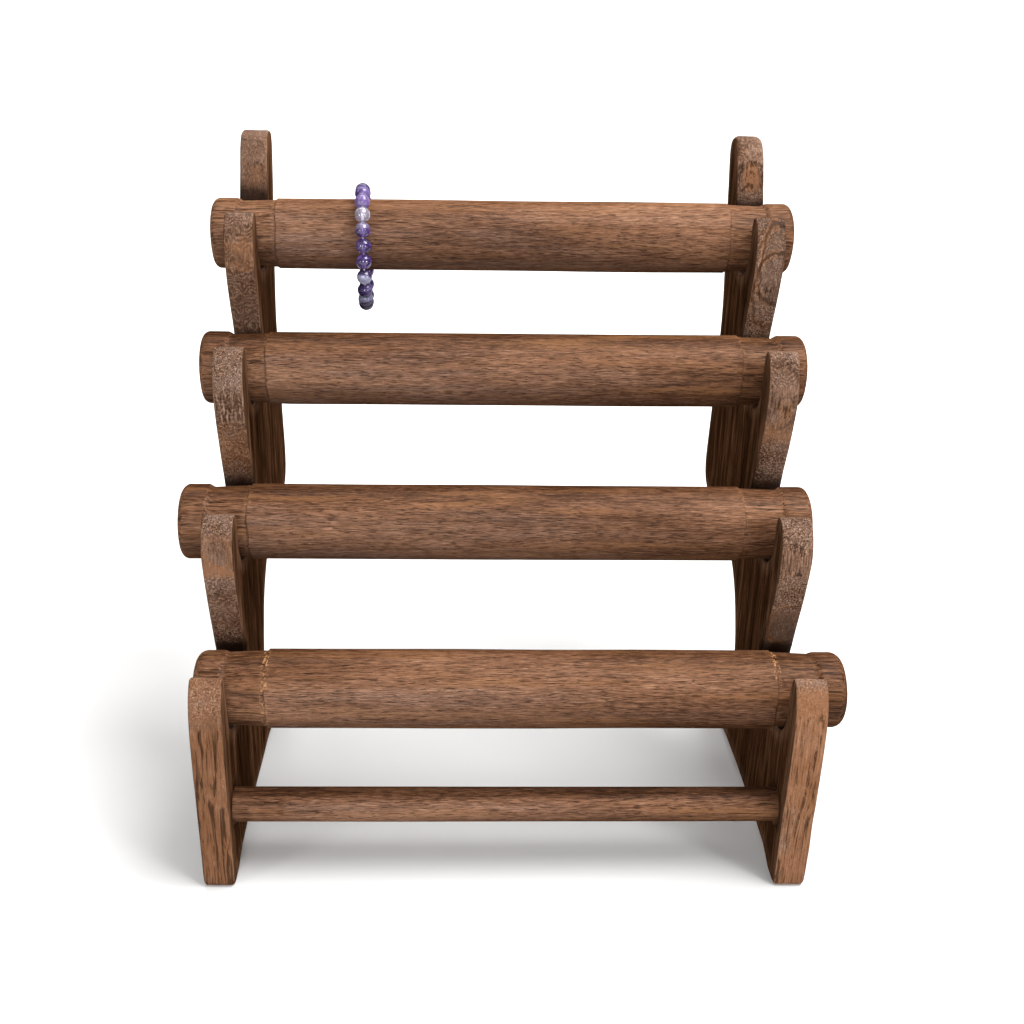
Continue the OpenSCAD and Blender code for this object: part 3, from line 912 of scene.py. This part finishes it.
# per bead: depth of colour from 0, clear, to 1, deep; the second zone's depth; the direction in which that
# zone lies (front is -y, up is +z) and how far out it begins; how cloudy and how grey, from 0 to 1
quartz = {
    1: (0.84, 0.64, (0.7, -0.4, -0.4), 0.05, 0.86, 0.1),
    2: (0.58, 0.5, (0.0, -0.3, -1.0), 0.2, 0.72, 0.0),
    3: (0.02, 0.1, (-0.6, 0.0, -0.8), 0.5, 0.38, 0.0),
    4: (0.22, 0.74, (0.2, -0.2, -1.0), -0.2, 0.42, 0.0),
    5: (0.9, 0.62, (-1.0, 0.0, -0.7), 0.1, 0.46, 0.0),
    6: (0.92, 0.7, (-0.7, -0.2, -1.0), 0.1, 0.55, 0.05),
    # beads 7 to 10 hang under the bar: their deeper, greyer colour is partly their own and partly painted
    # shade
    7: (0.94, 0.3, (-0.2, -0.5, -0.8), 0.1, 0.97, 0.75),
    8: (1.00, 0.84, (1.0, -0.2, 0.3), 0.3, 0.95, 0.45),
    9: (0.5, 0.92, (0.2, 0.0, -0.8), 0.25, 0.98, 0.85),
    10: (1.15, 1.1, (0.2, 0.3, 0.9), 0.1, 1.0, 0.7),
    21: (0.98, 0.9, (0.2, -0.3, 0.9), 0.4, 0.97, 0.5),
}
quartzLook = dict(
    glass=[(0.0, (0.95, 0.94, 0.96)), (0.3, (0.86, 0.8, 0.94)), (0.6, (0.66, 0.54, 0.86)),
           (1.0, (0.4, 0.26, 0.66))],
    cloudy=[(0.0, (0.5, 0.46, 0.54)), (0.2, (0.36, 0.31, 0.47)), (0.5, (0.215, 0.145, 0.37)),
            (0.8, (0.092, 0.054, 0.205)), (1.0, (0.028, 0.015, 0.085))],
    slate=[(0.0, (0.42, 0.45, 0.54)), (0.3, (0.26, 0.28, 0.38)), (0.6, (0.12, 0.12, 0.19)),
           (0.9, (0.04, 0.03, 0.06)), (1.0, (0.022, 0.015, 0.032))],
    inclusion=(0.58, 0.54, 0.68),
    wisps=((240, 240, 240), 3, 0.6),
    mottle=((420, 420, 420), 2, 0.5),
    veils=((330, 520, 420), 4, 0.65),
    ior=1.545, coatIor=1.7, coatRoughness=0.1,
    gloss=0.9, shadedGloss=0.5, lit=range(2, 8),  # the beads that face the lamps
    drilled=(0.72, 0.68, 0.8), frosting=0.6,  # of the hole's wall
    frostEdge=(0.00004, 0.00001),  # how far beyond the wall the frosting fades
    absorbed=(0.5, 0.28, 0.76), perMetre=300,  # colour that the quartz lets through, and how strongly
)


def amethystFinish(name, centre, axis, gloss, depth, second, towards, border, cloudiness, greyness, seed):
    # glass that absorbs along the light's way, mixed with a cloudy body; the colour lies in two zones with a
    # wavy border between them, and the wall of the hole is frosted
    look = quartzLook
    make = Finish(name)
    local = make.vector("SUBTRACT", make.place, tuple(centre))
    aim = np.array(towards) / np.linalg.norm(towards)
    away = make.vector("DOT_PRODUCT", local, tuple(aim / (beads["diameter"] / 2)), "Value")
    shifted = make.vector("ADD", make.place, (0.013 * seed, 0.029 * seed, 0.007 * seed))
    wisp, mottle = make.noises(shifted, look, "wisps", "mottle")
    zone = make.step(away + (wisp - 0.5) * 0.9, border - 0.16, border + 0.2)
    depthHere = depth + zone * (second - depth) + (mottle - 0.5) * 0.22
    glassColour, cloudyColour, slate = (make.ramp(look[k], depthHere) for k in ("glass", "cloudy", "slate"))
    glass = make.surface({
        "Base Color": make.blend(greyness * 0.6, glassColour, look["slate"][0][1]), "Roughness": 0.02,
        "IOR": look["ior"], "Transmission Weight": 1.0})
    veil = make.spots(shifted, look["veils"], 0.52, 0.7)
    body = make.blend(veil * 0.2, make.blend(greyness, cloudyColour, slate), look["inclusion"])
    cloudy = make.surface({
        "Base Color": body, "Roughness": 0.3, "Specular IOR Level": 0.0,
        "Coat Weight": make.step(make.rim(), 0.72, 0.32) * gloss, "Coat IOR": look["coatIor"],
        "Coat Roughness": look["coatRoughness"]})
    stone = make.add("ShaderNodeMixShader", {0: cloudiness * (0.85 + veil * 0.3), 1: glass, 2: cloudy})
    fromAxis = make.vector("LENGTH", make.vector("CROSS_PRODUCT", local, tuple(axis)), (0, 0, 0), "Value")
    boreRadius = beads["bore"] / 2
    onWall = make.step(fromAxis, *(boreRadius + beyond for beyond in look["frostEdge"])) * look["frosting"]
    frost = make.blend(wisp, look["drilled"], look["inclusion"])
    frosted = make.surface({"Base Color": frost, "Roughness": 0.6})
    density = look["perMetre"] * max(depth, second)
    absorb = make.add("ShaderNodeVolumeAbsorption", {"Color": (*look["absorbed"], 1), "Density": density})
    return make.done(make.add("ShaderNodeMixShader", {0: onWall, 1: stone, 2: frosted}), Volume=absorb)


def plainQuartz(rng):
    # a row like those above for a bead at the back or underneath
    return (rng.uniform(0.85, 1.0), rng.uniform(0.7, 1.0), tuple(rng.uniform(-1, 1, 3)), rng.uniform(0, 0.5),
            rng.uniform(0.85, 0.95), rng.uniform(0.1, 0.6))


def stringBeads():
    # bead i lies at firstAt + i pitch along the path; pitch = 2 R asin((D + gap) / 2R), the arc whose chord
    # is a bead and a gap, and each drop is (count pitch - 2 pi R) / 2, what the two half turns leave
    centre, barRadius = rodOf("bar_top")[:2]
    loopRadius = barRadius + beads["diameter"] / 2 + beads["seat"]
    pitch = 2 * loopRadius * math.asin((beads["diameter"] + beads["gap"]) / 2 / loopRadius)
    drop = (beads["count"] * pitch - 2 * np.pi * loopRadius) / 2
    y, z, heading = braceletPath(beads["firstAt"] + np.arange(beads["count"]) * pitch, loopRadius, drop)
    turn, lean = (math.radians(beads[k]) for k in ("turn", "lean"))
    across = np.array(Matrix.Rotation(turn, 3, "Z") @ Matrix.Rotation(-lean, 3, "Y"))
    hang = np.array([beads["hangX"], *centre])
    ball, faces = drilledSphere(beads)
    worst = 0
    rng = np.random.default_rng(5)
    for i in range(beads["count"]):
        node = "bead_%02d" % (i + 1)
        place = hang + across @ np.array([0, y[i], z[i]])
        worst = max(worst, np.abs(place - np.mean(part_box(node), 0)).max())
        axis = np.array([0, np.cos(heading[i]), np.sin(heading[i])])
        side = np.array([1.0, 0, 0])
        turned = across @ np.column_stack([side, np.cross(axis, side), axis])
        look = quartz.get(i + 1) or plainQuartz(rng)
        gloss = quartzLook["gloss" if i + 1 in quartzLook["lit"] else "shadedGloss"]
        finish = amethystFinish(node + "_quartz", place, across @ axis, gloss, *look, i + 1)
        makePiece(node + "_polished", place + ball @ turned.T, faces, [], finish, node)
    print("beads strung, farthest from its solid: %.4f mm" % (worst * 1000))


stringBeads()


# elastic cord

elastic = dict(
    strands=((2600, 900, 900), 2, 0.5),
    clear=(0.7, 0.68, 0.74),
    white=(0.93, 0.92, 0.95),
    relief=0.00004,
)


def elasticFinish():
    # clear white stretch cord of fine parallel strands
    make = Finish("stretch_cord")
    strand = make.noise(make.place, *elastic["strands"])
    colour = make.blend(strand, elastic["clear"], elastic["white"])
    return make.done(make.surface({
        "Base Color": colour, "Roughness": 0.28 + strand * 0.2, "Specular IOR Level": 0.6,
        "Normal": make.bump(strand, elastic["relief"])}))


cord = solids["elastic_cord"]
cord.data.materials.clear()
cord.data.materials.append(elasticFinish())
print("cord finished")


# floor and light

studio = dict(
    floorHalf=3.2, wallAt=2.2, wallRound=0.9, wallHeight=2.8,
    nearColour=(0.72, 0.72, 0.715), farColour=(0.93, 0.93, 0.925),
    paleFrom=(0.12, 0.8),  # metres from the middle over which the near colour gives way
    uneven=((3, 3, 3), 2, 0.5),
    world=0.3,
    lamps=[  # place, where it looks, size in metres, watts
        ((-0.19, -1.3, 0.55), (-0.05, 0, 0.2), 0.28, 5.5),
        ((0.93, -0.88, 0.48), (-0.05, 0, 0.2), 0.28, 5.5),
        ((-1.03, -0.94, 0.46), (-0.05, 0, 0.2), 0.26, 3.5),
        ((0.62, -0.25, 1.45), (0, 0, 0.15), 1.1, 32),
        ((0, 1.3, 2.2), (0, 2.6, 0.2), 2.4, 80),
    ],
)


def layFloor():
    # a strip of floor that curves up into a wall behind: z = R (1 - cos a), y = wallAt + R sin a
    reach, wallAt, radius, top = (studio[k] for k in ("floorHalf", "wallAt", "wallRound", "wallHeight"))
    a = np.linspace(0, np.pi / 2, 25)
    y = np.concatenate([[-reach], wallAt + radius * np.sin(a), [wallAt + radius]])
    z = np.concatenate([[0], radius * (1 - np.cos(a)), [top]])
    x = np.linspace(-reach, reach, 3)[:, None]
    make = Finish("floor_paint")
    away = make.vector("LENGTH", make.place, (0, 0, 0), "Value")
    away = away + make.noise(make.place, *studio["uneven"]) * 0.1
    tint = make.blend(make.step(away, *studio["paleFrom"]), studio["nearColour"], studio["farColour"])
    paint = make.done(make.surface({"Base Color": tint, "Roughness": 0.8, "Specular IOR Level": 0.2}))
    floor = newObject("floor", gridPoints(x, y, z), gridFaces(len(x), len(y)).tolist(), paint)


def hangLights():
    # disks that look at their targets, and an even light from all round
    for number, (place, target, size, watts) in enumerate(studio["lamps"]):
        lamp = bpy.data.lights.new("lamp_%d" % number, "AREA")
        lamp.shape, lamp.size, lamp.energy = "DISK", size, watts
        holder = linked(lamp)
        holder.location = place
        holder.rotation_euler = (Vector(target) - Vector(place)).to_track_quat("-Z", "Y").to_euler()
    world = bpy.data.worlds.new("studio")
    world.use_nodes = True
    sky = world.node_tree.nodes["Background"].inputs
    sky["Color"].default_value, sky["Strength"].default_value = (1, 1, 1, 1), studio["world"]
    bpy.context.scene.world = world
    bpy.context.scene.view_settings.view_transform = "Standard"


layFloor()
hangLights()
print("floor and lights placed")
